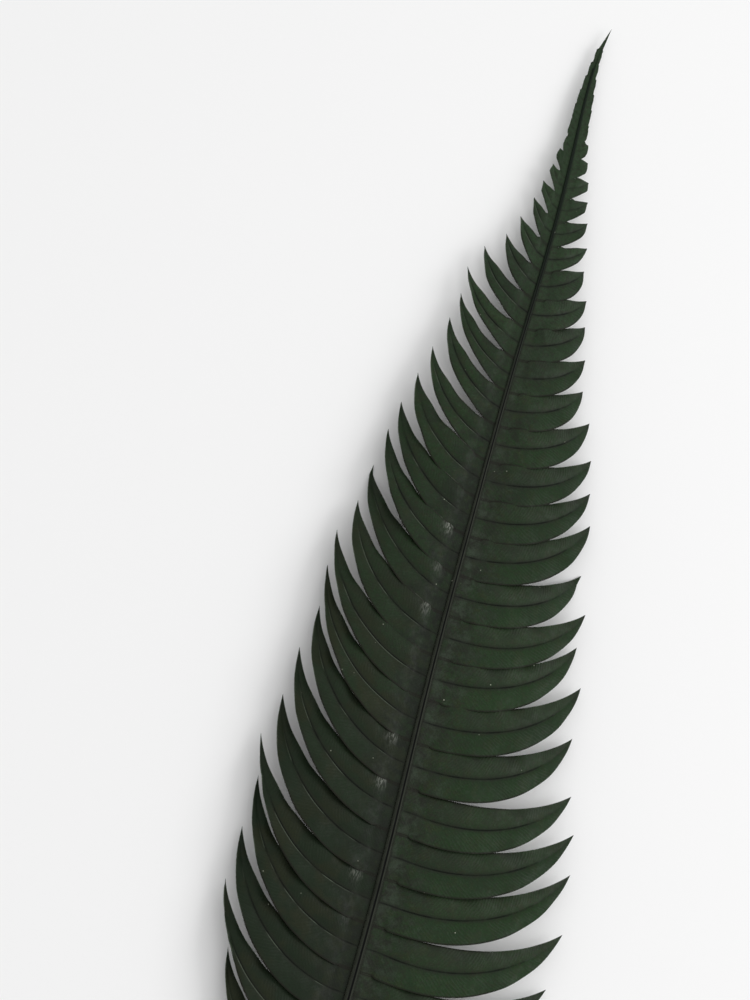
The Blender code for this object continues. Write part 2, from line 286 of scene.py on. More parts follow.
def row_bounds(places, i):
    """Upper and lower end, as distances below the tip, of the base of pinna i."""
    upper = (places[i - 1] + places[i]) / 2 if i else places[0] - row_step(places[0]) / 2
    lower = (places[i] + places[i + 1]) / 2 if i + 1 < len(places) else places[i] + row_step(places[i]) / 2
    return upper + NOTCH / 2, lower - NOTCH / 2


def midrib(s, side, draw):
    """Midrib of a pinna: its points, their shares of its length and its directions there."""
    root = stalk_axis(s)
    wing = wing_half_width(s)
    reach = pinna_length(s, side) * draw.uniform(1 - LENGTH_DRAW, 1 + LENGTH_DRAW)
    angle = pinna_angle(s, side) + math.radians(draw.uniform(-ANGLE_DRAW, ANGLE_DRAW))
    out = max(reach * math.sin(angle) - wing, LOBE_SHARE * row_step(s))
    rise = wing_rise(s, wing - channel(s)[0])
    up = reach * math.cos(angle) - rise
    bend = math.radians(RIGHT_BEND if side > 0 else LEFT_BEND)
    bend *= 1 - math.exp(-math.hypot(out, up) / BEND_GROWTH)
    lobe = min(1.0, max(0.0, (s - LOBE_START) / LOBE_GAIN))
    length = math.hypot(out, up) * (bend / 2) / math.sin(bend / 2)
    length = max(length * lobe, LOBE_SHARE * row_step(s))
    first = math.atan2(out, up) + bend / (1 + BEND_POWER)
    columns = max(4, round(length / COLUMN))
    shares = [j / columns for j in range(columns + 1)]
    angles = [first - bend * t ** BEND_POWER for t in shares]
    points = [Vector((root.x + side * wing, root.y + rise, root.z))]
    for a, b in zip(shares, shares[1:]):
        angle = first - bend * ((a + b) / 2) ** BEND_POWER
        ahead = Vector((side * math.sin(angle), math.cos(angle), 0))
        points.append(points[-1] + ahead * ((b - a) * length))
    tip_height = PINNA_TIP_LOW + PINNA_TIP_SPREAD * draw.random()
    droop = min(1.0, length / SHORT_PINNA)
    tip_height = tip_height * droop + (root.z - SHORT_PINNA_DROOP * length) * (1 - droop)
    for t, p in zip(shares, points):
        p.z = root.z + LIFT * length * (t - t * t) + (tip_height - root.z) * t * t
    roll = draw.uniform(-ROLL, ROLL)
    line = {"points": points, "shares": shares, "angles": angles}
    return {**line, "roll": roll, "side": side, "length": length}


def touch_surface(pinna):
    """Bend a pinna down until its end lies flat on the surface."""
    drop = CAD_SHEET - TOUCH_DEPTH - pinna["points"][-1].z
    for t, p in zip(pinna["shares"], pinna["points"]):
        p.z += drop * t ** TOUCH_POWER


def distance_to_line(p, line, near, reach=24):
    """Distance in plan from a point to the stretch of a line of points around index near."""
    low = max(0, near - reach)
    nearest = math.inf
    for a, b in zip(line[low:near + reach], line[low + 1:near + reach + 1]):
        run_x, run_y = b.x - a.x, b.y - a.y
        t = ((p.x - a.x) * run_x + (p.y - a.y) * run_y) / (run_x * run_x + run_y * run_y)
        t = max(0.0, min(1.0, t))
        nearest = min(nearest, math.hypot(p.x - a.x - run_x * t, p.y - a.y - run_y * t))
    return nearest


def saw(x):
    """Tooth shape between 0 and 1: slow rise, quick fall."""
    x = x % 1.0
    return x / TOOTH_RISE if x < TOOTH_RISE else (1 - x) / (1 - TOOTH_RISE)


def width_share(t, side, way, length):
    """Share of its full width left to the upper (way 1) or lower half of a pinna at share t."""
    if side < 0:
        full_share, power = LEFT_FULL_SHARE, LEFT_TAPER_POWER
    else:
        full_share, power = RIGHT_FULL_SHARE, RIGHT_TAPER_POWER
    run = max(0.0, (t - full_share) / (1 - full_share))
    if way > 0:
        short = math.exp(-(length / SHORT_LOBE) ** 2)
        return (1 - run * run) ** power * (1 - short) + (1 - t) * short
    return (1 - run * run) ** (power + TIP_SLIMMING * math.exp(-(length / TIP_SLIM_LENGTH) ** 2))


def slimming(s, side):
    """Share by which a pinna is slimmer than the room between its neighbours."""
    if side < 0:
        return LEFT_SLIMMING * math.exp(-(s / LEFT_SLIM_REACH) ** 2)
    return RIGHT_SLIMMING * math.exp(-(s / RIGHT_SLIM_REACH) ** 2)


def edge_direction(pinna, j):
    """Direction in plan from midrib point j to the upper edge, and how far off square it is."""
    angle = pinna["angles"][j]
    square = Vector((-pinna["side"] * math.cos(angle), math.sin(angle), 0))
    turned = min(1.0, pinna["shares"][j] * pinna["length"] / BASE_TURN)
    across = (square * turned + Vector((0, 1, 0)) * (1 - turned)).normalized()
    return across, 1 / max(LEAST_SQUARE, across.dot(square))


def pinna_halves(pinnae, i, places):
    """Widths of the upper and lower half of pinna i at each point of its midrib."""
    pinna = pinnae[i]
    points = pinna["points"]
    slim_share = slimming(places[i], pinna["side"])
    open_to = LEFT_OPEN_TO if pinna["side"] < 0 else RIGHT_OPEN_TO
    closed = places[i] > open_to
    overlap = OVERLAP if closed else -OPEN_GAP
    notch = 0.0 if closed else NOTCH
    slim_from = CLOSED_SHARE * pinna["length"] if closed else 0.0
    full = row_step(places[i]) / 2
    spare = {1: 1.0, -1: 1.0}
    halves = []
    for j, t in enumerate(pinna["shares"]):
        d = t * pinna["length"]
        started = ease(d / OVERLAP_GAIN)
        over = overlap * started - notch * (1 - started)
        off_square = edge_direction(pinna, j)[1]
        slim = 1 - slim_share * ease((d - slim_from) / SLIM_GAIN)
        pair = []
        for way, neighbour in ((1, i - 1), (-1, i + 1)):
            half = (full + over / 2) * width_share(t, pinna["side"], way, pinna["length"])
            free_half = max(half, TOOTH)
            if 0 <= neighbour < len(pinnae):
                line = pinnae[neighbour]["points"]
                near = round(j * len(line) / len(points))
                room = distance_to_line(points[j], line, near) / 2 * off_square
                if d > BASE_TURN:
                    spare[way] = min(spare[way], (room + over / 2) * slim / free_half)
                half = min(half, (room + over / 2) * slim, free_half * spare[way])
            tooth = TOOTH * ease((t - TOOTHED_FROM) / TOOTH_GAIN) * min(1.0, TOOTH_FADE * (1 - t))
            half += tooth * (saw(d / TOOTH_PITCH + (0.5 if way > 0 else 0)) - 0.5)
            pair.append(half)
        halves.append(pair)
    return halves


def hug_midrib(v, offset):
    """Offset from the midrib, with the columns next to it kept within its groove."""
    if abs(v) < NEAR_MIDRIB:
        return math.copysign(min(abs(offset), MIDRIB_HALF_WIDTH * MIDRIB_COLUMN), v)
    return offset


class LaminaBuilder:
    """Gathers the points, faces and shading values of the blade's upper surface."""

    def __init__(self):
        self.mesh = bmesh.new()
        self.values = {}
        layers = self.mesh.verts.layers.float
        for name in ("along", "across", "reach", "tone", "down", "vein", "sheen", "beside", "left"):
            self.values[name] = layers.new(name)

    def point(self, place, **values):
        """Add one point with its shading values."""
        vert = self.mesh.verts.new(place)
        for name, value in values.items():
            vert[self.values[name]] = value
        return vert

    def strip(self, above, below, turned=False):
        """Faces between two rows of points, or between a row and the one point it ends in."""
        for c in range(len(above) - 1):
            if len(below) == 1:
                face = (above[c], below[0], above[c + 1])
            else:
                face = (above[c], below[c], below[c + 1], above[c + 1])
            self.mesh.faces.new(face[::-1] if turned else face)


def across_profile(v, half):
    """Height of a pinna's cross section over its midrib at share v of the half width."""
    height = half * (FOLD * abs(v) - RECURVE * abs(v) ** 3)
    groove = max(0.0, 1 - abs(v) * half / MIDRIB_HALF_WIDTH)
    return height - MIDRIB_DEPTH * groove * min(1.0, half / FULL_GROOVE_HALF)


def pinna_surface(builder, pinna, halves, base, tone, phase, buckle, s):
    """Add one pinna, from its base points on the wing to its tip."""
    side = pinna["side"]
    previous = base
    last = len(pinna["points"]) - 1
    for j in range(1, last + 1):
        t = pinna["shares"][j]
        p = pinna["points"][j]
        d = t * pinna["length"]
        out = edge_direction(pinna, j)[0]
        upper, lower = halves[j]
        if j == last:
            place = Vector((p.x, p.y, max(SHEET, p.z)))
            shading = {"along": 1.0, "across": 0.0, "reach": d, "tone": tone, "down": s}
            row = [builder.point(place, vein=1.0, beside=1.0, **shading)]
            builder.strip(previous, row, side > 0)
            break
        row = []
        settle = ease(d / SETTLE_LENGTH)
        tip_calm = min(1.0, (1 - t) / CALM_TIP)
        edge_step = EDGE_STEP * (1 - math.exp(-d / EDGE_STEP_GAIN))
        edge_step *= 1 - ease((t - STEP_FADE_FROM) / STEP_FADE_OVER)
        ripple = RIPPLE_LEAST + (1 - RIPPLE_LEAST) * ease((t - RIPPLE_GAIN_FROM) / RIPPLE_GAIN_OVER)
        ripple *= RIPPLE * settle
        for v in ACROSS:
            half = lower if v < 0 else upper
            offset = hug_midrib(v, v * half)
            w = offset / half if half > 0 else 0.0
            z = across_profile(w, half) * settle
            z -= pinna["roll"] * offset * settle
            z -= edge_step * w * abs(w)
            turn = math.tau * d / RIPPLE_PITCH + phase + (RIPPLE_TURN if v > 0 else 0)
            z += ripple * w * w * math.sin(turn)
            place = p + out * offset
            wobble = noise.noise(Vector((place.x, place.y, s)) / BUCKLE_SIZE)
            place.z = p.z + (z + BUCKLE * wobble * settle) * tip_calm
            # The buckle's rise, whose strength also lays the painted sheen
            shine = buckle * math.exp(-((d - SHINE_PLACE) / SHINE_REACH) ** 2)
            shine *= math.exp(-((w - SHINE_ACROSS) / SHINE_WIDTH) ** 2)
            place.z = max(SHEET, place.z + SHINE_RISE * shine)
            row.append(builder.point(place, along=t, across=w, reach=d, tone=tone, down=s, vein=offset,
                                     sheen=shine, beside=1.0, left=float(side < 0)))
        builder.strip(previous, row[::-1], side > 0)
        previous = row[::-1]


def cross_row(builder, s, wing, v, offset, tone):
    """Points of the wings and the rounded channel across the stalk at s, left to right."""
    axis = stalk_axis(s)
    half, depth = channel(s)
    wing = max(wing, half + 2 * SEAT)
    sunk = SEAM_DEPTH * max(0.0, (abs(v) - SEAM_FROM) / (1 - SEAM_FROM)) + MIDRIB_DEPTH * (v == 0.0)
    sunk *= min(1.0, (wing - half) / FULL_GROOVE_WING)
    shading = {"along": 0.0, "across": v, "tone": tone, "down": s, "vein": offset}
    across_x = [(-wing, sunk)]
    across_x += [((half - wing) * share - half, sunk) for share in WING_COLUMNS]
    across_x += [(-half, 0.0)]
    for k in range(1, CHANNEL_POINTS - 1):
        turn = math.pi * k / (CHANNEL_POINTS - 1)
        across_x.append((-half * math.cos(turn), depth * math.sin(turn)))
    across_x += [(-x, z) for x, z in reversed(across_x[:4])]
    row = []
    for x, z in across_x:
        rise = wing_rise(s, max(0.0, abs(x) - half))
        place = axis + Vector((x, rise, -z))
        sides = {"reach": abs(x) - wing, "beside": abs(x) - half, "left": float(x < 0)}
        row.append(builder.point(place, **sides, **shading))
    return row


def build_blade():
    """The lamina as one thin sheet with serrate pinnae, sunken midribs and slight buckles."""
    places = rows()
    draw = random.Random(SEED)
    sides = {side: [midrib(s, side, draw) for s in places] for side in (1, -1)}
    touching = min(range(len(places)), key=lambda i: abs(places[i] - TOUCH_DISTANCE))
    for side in (1, -1):
        touch_surface(sides[side][touching])
    fine = random.Random(SEED + 1)
    builder = LaminaBuilder()

    grid = []
    for i, place in enumerate(places):
        upper_end, lower_end = row_bounds(places, i)
        for v in reversed(ACROSS):
            offset = hug_midrib(v, v * ((place - upper_end) if v > 0 else (lower_end - place)))
            s = place - offset
            grid.append(cross_row(builder, s, wing_half_width(s), v, offset, PLAIN_TONE))
    end = lower_end + BARE_WING_SHARE * row_step(lower_end)
    grid.append(cross_row(builder, end, channel(end)[0] + CHANNEL_RIM, 1.0, 0.0, PLAIN_TONE))
    tip = builder.point(stalk_axis(0.0), along=1.0, across=0.0, reach=0.0, tone=PLAIN_TONE, down=0.0, vein=0)
    builder.strip(grid[0], [tip], True)
    for above, below in zip(grid, grid[1:]):
        builder.strip(above, below)

    count = len(ACROSS)
    for side in (1, -1):
        outer = -1 if side > 0 else 0
        for i, s in enumerate(places):
            base = [row[outer] for row in grid[count * i:count * i + count]]
            halves = pinna_halves(sides[side], i, places)
            tone = fine.random()
            phase = fine.uniform(0, math.tau)
            buckle = max(0.0, fine.uniform(-1.0, 1.0)) if side < 0 and s > BUCKLED_FROM else 0.0
            for vert in base:
                vert[builder.values["tone"]] = tone
            pinna_surface(builder, sides[side][i], halves, base, tone, phase, buckle, s)

    mesh = bpy.data.meshes.new("lamina")
    builder.mesh.to_mesh(mesh)
    builder.mesh.free()
    sheet = bpy.data.objects.new("lamina_sheet", mesh)
    bpy.context.scene.collection.objects.link(sheet)
    thicken = sheet.modifiers.new("thickness", "SOLIDIFY")
    thicken.thickness = SHEET
    thicken.offset = -1
    return applied(sheet, "frond_blade")


def linked(name, mesh, sharp_edge):
    """A smooth-shaded mesh object in the scene, with sharp edges from an angle in degrees."""
    made = bpy.data.objects.new(name, mesh)
    bpy.context.scene.collection.objects.link(made)
    mesh.shade_smooth()
    mesh.set_sharp_from_angle(angle=math.radians(sharp_edge))
    return made


def applied(source, name):
    """A mesh object of the source with its modifiers applied, in place of the source."""
    bpy.context.view_layer.update()
    solid = source.evaluated_get(bpy.context.evaluated_depsgraph_get())
    mesh = bpy.data.meshes.new_from_object(solid)
    mesh.name = name
    bpy.data.objects.remove(source)
    return linked(name, mesh, SHARP_LAMINA_EDGE)


def build_stalk():
    """The stalk with a deep and a fine groove along its upper side and a cut end."""
    sides = STALK_SIDES
    count = round((FROND_LENGTH - STALK_TOP) / STALK_STEP)
    mesh = bmesh.new()
    around = mesh.verts.layers.float.new("around")
    down = mesh.verts.layers.float.new("down")
    core = mesh.verts.layers.float.new("core")
    rings = []
    for i in range(count + 1):
        s = STALK_TOP + (FROND_LENGTH - STALK_TOP) * i / count
        axis = stalk_axis(s)
        radius = stalk_radius(s)
        ring = []
        for k in range(sides):
            a = math.tau * k / sides
            x, z = math.sin(a), math.cos(a)
            groove = 0.0
            for centre, depth, width in zip(GROOVES, GROOVE_SHARES, GROOVE_WIDTHS):
                groove += depth * math.exp(-((x - centre) / width) ** 2) if z > 0 else 0.0
            rough = noise.noise(Vector((x * ROUGH_AROUND, z * ROUGH_AROUND, s / ROUGH_ALONG)))
            r = radius * (STALK_SLIM - GROOVE_DEPTH * groove + STALK_ROUGH * rough)
            place = axis + Vector((x * r, 0, z * r))
            place.z = max(0.0, place.z)
            vert = mesh.verts.new(place)
            vert[around] = x if z > 0 else UNDERSIDE
            vert[down] = s
            ring.append(vert)
        rings.append(ring)
    for a, b in zip(rings, rings[1:]):
        for k in range(sides):
            mesh.faces.new((a[k], b[k], b[(k + 1) % sides], a[(k + 1) % sides]))
    for ring, s, turned in ((rings[0], STALK_TOP, False), (rings[-1], FROND_LENGTH, True)):
        axis = stalk_axis(s)
        inner = []
        for vert in ring:
            new = mesh.verts.new(axis + (vert.co - axis) * PITH_SHARE)
            new[core] = 1.0
            new[down] = s
            inner.append(new)
        middle = mesh.verts.new(axis)
        middle[core] = 1.0
        middle[down] = s
        for k in range(sides):
            n = (k + 1) % sides
            ring_face = (ring[k], ring[n], inner[n], inner[k])
            hub_face = (inner[k], inner[n], middle)
            mesh.faces.new(ring_face if not turned else ring_face[::-1])
            mesh.faces.new(hub_face if not turned else hub_face[::-1])
    data = bpy.data.meshes.new("frond_stalk")
    mesh.to_mesh(data)
    mesh.free()
    return linked("frond_stalk", data, SHARP_STALK_EDGE)


class Nodes:
    """Short calls for building a material's node tree."""

    def __init__(self, name):
        self.material = bpy.data.materials.new(name)
        self.material.use_nodes = True
        self.tree = self.material.node_tree
        self.shader = self.tree.nodes["Principled BSDF"]

    def put(self, socket, value):
        """Link a socket to another, or set it to a constant."""
        if isinstance(value, bpy.types.NodeSocket):
            self.tree.links.new(value, socket)
        else:
            socket.default_value = value

    def attribute(self, name):
        node = self.tree.nodes.new("ShaderNodeAttribute")
        node.attribute_name = name
        return node.outputs["Fac"]

    def position(self, scale):
        """Object coordinates, stretched by a scale on each axis."""
        coordinates = self.tree.nodes.new("ShaderNodeTexCoord")
        mapping = self.tree.nodes.new("ShaderNodeMapping")
        mapping.inputs["Scale"].default_value = scale
        self.put(mapping.inputs["Vector"], coordinates.outputs["Object"])
        return mapping.outputs["Vector"]

    def math(self, operation, a, b=0.0):
        node = self.tree.nodes.new("ShaderNodeMath")
        node.operation = operation
        for socket, value in zip(node.inputs, (a, b)):
            self.put(socket, value)
        return node.outputs[0]

    def noise(self, vector, scale, detail=3.0, roughness=0.5):
        node = self.tree.nodes.new("ShaderNodeTexNoise")
        self.put(node.inputs["Vector"], vector)
        node.inputs["Scale"].default_value = scale
        node.inputs["Detail"].default_value = detail
        node.inputs["Roughness"].default_value = roughness
        return node.outputs["Fac"]

    def ramp(self, factor, low, high, out_low=0.0, out_high=1.0):
        """Map a value smoothly from one range to another."""
        node = self.tree.nodes.new("ShaderNodeMapRange")
        node.interpolation_type = "SMOOTHSTEP"
        values = (factor, low, high, out_low, out_high)
        for name, value in zip(("Value", "From Min", "From Max", "To Min", "To Max"), values):
            self.put(node.inputs[name], value)
        return node.outputs["Result"]

    def mix(self, factor, a, b):
        node = self.tree.nodes.new("ShaderNodeMix")
        node.data_type = "RGBA"
        self.put(node.inputs[0], factor)
        for index, value in ((6, a), (7, b)):
            self.put(node.inputs[index], value if isinstance(value, bpy.types.NodeSocket) else (*value, 1))
        return node.outputs[2]

    def times(self, *factors):
        """Product of all the factors."""
        product = factors[0]
        for factor in factors[1:]:
            product = self.math("MULTIPLY", product, factor)
        return product

    def tint(self, base, colour, *factors):
        """The base colour mixed towards another by the product of the factors."""
        return self.mix(self.times(*factors), base, colour)

    def cells(self, vector, scale):
        """Distance to the nearest of many scattered points, and two random values of that point."""
        node = self.tree.nodes.new("ShaderNodeTexVoronoi")
        self.put(node.inputs["Vector"], vector)
        node.inputs["Scale"].default_value = scale
        chosen = self.tree.nodes.new("ShaderNodeSeparateColor")
        self.put(chosen.inputs["Color"], node.outputs["Color"])
        return node.outputs["Distance"], chosen.outputs[0], chosen.outputs[1]

    def surface(self, colour, roughness, specular, normal=None):
        """Fill in the shader and give the finished material."""
        self.put(self.shader.inputs["Base Color"], colour)
        self.put(self.shader.inputs["Roughness"], roughness)
        self.shader.inputs["Specular IOR Level"].default_value = specular
        if normal is not None:
            self.put(self.shader.inputs["Normal"], normal)
        return self.material

    def bump(self, height, strength, distance, normal=None):
        node = self.tree.nodes.new("ShaderNodeBump")
        node.inputs["Strength"].default_value = strength
        node.inputs["Distance"].default_value = distance
        self.put(node.inputs["Height"], height)
        if normal is not None:
            self.put(node.inputs["Normal"], normal)
        return node.outputs["Normal"]


# Colours of the lamina
DEEP_GREEN = (0.0075, 0.0135, 0.007)
LEAF_GREEN = (0.0155, 0.0370, 0.0115)
BLUE_GREEN = (0.0150, 0.0295, 0.0130)
OLIVE = (0.023, 0.031, 0.011)
OLIVE_BROWN = (0.0210, 0.0225, 0.0095)
# Painted light on each pinna's upper half and painted shade on its lower half
LIT_SAGE_GREEN = (0.0245, 0.0370, 0.0180)
SHADED_RICH_GREEN = (0.0120, 0.0350, 0.0090)
FRESH_GREEN = (0.028, 0.056, 0.024)
PALE_GREEN = (0.036, 0.050, 0.033)
# Grey green of the painted shade on the left side
LEFT_SHADE_GREEN = (0.0135, 0.0200, 0.0110)
GREY_BROWN = (0.0225, 0.0235, 0.0155)
ROOT_BROWN = (0.0165, 0.0180, 0.0130)
# Darker brown used on the left side, painted shade
ROOT_SHADE = (0.0110, 0.0135, 0.0095)
# Dark brown of the seams: the edges' own brown with painted shade where neighbours meet; also painted shade
# beside the stalk
SEAM_SHADE_BROWN = (0.010, 0.008, 0.006)
DARK_LINE = (0.003, 0.004, 0.003)
# Painted highlight along free edges and beside the midribs on the left
PAINTED_HIGHLIGHT = (0.085, 0.105, 0.075)
# Painted highlight on the buckles
PAINTED_SHEEN = (0.24, 0.25, 0.22)
SPECK = (0.40, 0.42, 0.33)

# Noises of the lamina: scale per metre, detail and roughness
BLOTCH_NOISE = (70, 3.0, 0.55)
PATCH_NOISE = (230, 3.0, 0.6)
MOTTLE_NOISE = (700, 3.0, 0.65)
GRAIN_NOISE = (2400, 2.0, 0.6)
PALE_NOISE = (190, 4.0, 0.7)
BROWN_NOISE = (260, 4.0, 0.65)
WANDER_NOISE = (170, 2.0, 0.5)
WORN_NOISE = (120, 2.0, 0.5)
LINE_NOISE = (130, 3.0, 0.5)
GLINT_NOISE = (75, 2.0, 0.5)
STREAK_NOISE = (1500, 2.0, 0.5)
GLOSS_NOISE = (420, 3.0, 0.6)
FINE_NOISE = (1100, 3.0, 0.65)

# Ramps of the lamina: where each begins and ends, and its value at both ends if not 0 and 1.
# Lengths are distances below the tip, from the wing, from the midrib or from the edge.
LOWER_PART = (50 * MM, 130 * MM)
BLUE_BLOTCHES = (0.42, 0.62)
OLIVE_PATCHES = (0.50, 0.66, 0.0, 0.75)
FRESH_TIP = (60 * MM, 220 * MM, 0.9, 0.0)
BROWN_MOTTLES = (0.48, 0.62, 0.0, 0.65)
PALE_MOTTLES = (0.34, 0.46, 0.5, 0.0)
FOLD_REACH = (4 * MM, 16 * MM)
FOLD_LEFT = (0.0, 1.0, 1.0, 0.3)
FOLD_DOWN = (100 * MM, 200 * MM)
# Halves that take the painted light and the painted shade of the fold
LIT_UPPER_HALF = (-0.05, 0.20, 0.0, 0.40)
SHADED_LOWER_HALF = (-0.15, 0.02, 0.40, 0.0)
# Painted shade on the left side, growing deeper lower down
LEFT_SHADE = (150 * MM, 400 * MM, 0.1, 0.75)
LEFT_DEEP_SHADE = (280 * MM, 400 * MM, 0.0, 0.5)
OLIVE_BLOTCHES = (0.46, 0.60, 0.0, 0.55)
OLIVE_DOWN = (200 * MM, 320 * MM)
ROOT_REACH = (-4 * MM, 13 * MM, 1.0, 0.0)
ROOT_DOWN = (100 * MM, 240 * MM, 0.2, 1.0)
PALE_ROOTS = (0.44, 0.66)
PALE_LEFT = (0.0, 1.0, 0.8, 0.1)
BROWN_TIPS = (0.80, 1.0, 0.0, 0.8)
BROWN_UPPER = (0.15, 0.9)
BROWN_BLOTCHES = (0.44, 0.60)
BROWN_PATCHES = (0.40, 0.58, 0.25, 1.0)
VEIN_OUTWARD = (0.05, 0.6, 0.3, 1.0)
VEIN_ASIDE = (0.5 * MM, 2.0 * MM)
VEIN_WORN = (0.38, 0.56, 0.1, 1.0)
VEIN_CREST = (0.1, 1.0)
VEIN_LEFT = (0.0, 1.0, 0.44, 0.10)
# Brown painted shade about each midrib, fading towards the tip
MIDRIB_SHADE_WIDTH = (0.3 * MM, 1.5 * MM, 0.5, 0.0)
MIDRIB_SHADE_ALONG = (0.4, 0.8, 1.0, 0.0)
LINE_WIDTH = (0.08 * MM, 0.50 * MM, 1.0, 0.0)
LINE_ALONG = (0.55, 0.93, 1.0, 0.1)
LINE_BREAKS = (0.36, 0.6, 0.25, 0.85)
GLINT_WIDTH = (0.06 * MM, 0.24 * MM, 1.0, 0.0)
GLINT_BREAKS = (0.44, 0.56, 0.0, 0.8)
GLINT_START = (0.02, 0.12)
GLINT_END = (0.6, 0.85, 1.0, 0.0)
TOUCHING_ALONG = (0.50, 0.66, 1.0, 0.0)
SEAM_WIDTH = (0.1 * MM, 0.9 * MM, 1.0, 0.0)
OPEN_HALF = (0.0, 0.2)
OPEN_ALONG = (0.08, 0.22)
OPEN_DOWN = (150 * MM, 220 * MM)
RIM_WIDTH = (0.08 * MM, 0.30 * MM, 1.0, 0.0)
RIM_BREAKS = (0.38, 0.58, 0.15, 0.8)
# Painted shade on the lamina beside the stalk, stronger on the left
BESIDE_WIDTH = (0.1 * MM, 0.8 * MM, 0.4, 0.0)
BESIDE_LEFT = (0.0, 1.0, 1.0, 0.4)
BESIDE_DOWN = (20 * MM, 110 * MM, 0.2, 1.0)
DARK_GRAIN = (0.42, 0.68, 0.0, 0.40)
STREAKS = (0.46, 0.58, 0.1, 1.0)
SPECK_SIZE = (0.025, 0.055, 1.0, 0.0)
SPECK_CHOICE = (0.64, 0.68)
SPECK_STRENGTH = (0.0, 1.0, 0.25, 0.8)
LEAF_GLOSS = (0.3, 0.7, 0.40, 0.62)

# Single values of the lamina's colour, and its bumps as strength and height
TONE_SHARE = 0.28
ROOT_SPREAD = 30 * MM
BROWN_UPPER_SHARE = 0.55
VEIN_SLANT = (0.82, 0.75)
VEIN_WANDER = 2.4 * MM
VEIN_PITCH = 1.25 * MM
GLINT_OFFSET = 0.36 * MM
SEAM_SHARE = 0.8
LEAST_WIDTH = 0.05
STREAK_STRETCH = (1.4, 0.35, 1)
SPECK_SCALE = 190
SPECK_JITTER = 0.05
LEAF_SPECULAR = 0.10
FINE_BUMP = (0.30, 0.2 * MM)
RIB_BUMP = (0.20, 0.15 * MM)
PATCH_BUMP = (0.35, 0.6 * MM)

# Colours, noises and ramps of the stalk
# Near-black painted shade in the stalk's grooves
STALK_GROOVE_SHADE = (0.0006, 0.0008, 0.0007)
STALK_RIDGE = (0.030, 0.034, 0.025)
STALK_BROWN = (0.0165, 0.0190, 0.0135)
STALK_GREEN = (0.0065, 0.0125, 0.0075)
PITH = (0.22, 0.17, 0.10)
FIBRE_STRETCH = (1, 0.12, 1)
FIBRE_NOISE = (2600, 3.0, 0.6)
STALK_PATCH_NOISE = (60, 3.0, 0.6)
PITH_NOISE = (2200, 2.0, 0.6)
RIDGE_AROUND = (0.85, 1.05, 1.0, 0.2)
RIDGE_FIBRES = (0.35, 0.6, 0.35, 1.0)
STALK_PATCHES = (0.45, 0.7, 0.0, 0.5)
GREEN_DOWN = (100 * MM, 200 * MM, 0.9, 0.0)
GROOVE_DOWN = (50 * MM, 150 * MM, 0.35, 1.0)
GROOVE_SHADE = (0.8, 1.7)
STALK_SPECK_SCALE = 260
STALK_SPECK_SIZE = (0.06, 0.1, 1.0, 0.0)
STALK_SPECK_CHOICE = (0.85, 0.9)
STALK_SPECK_SHARE = 0.7
STALK_GLOSS = (0.3, 0.7, 0.42, 0.65)
STALK_SPECULAR = 0.08
FIBRE_BUMP = (0.5, 0.3 * MM)


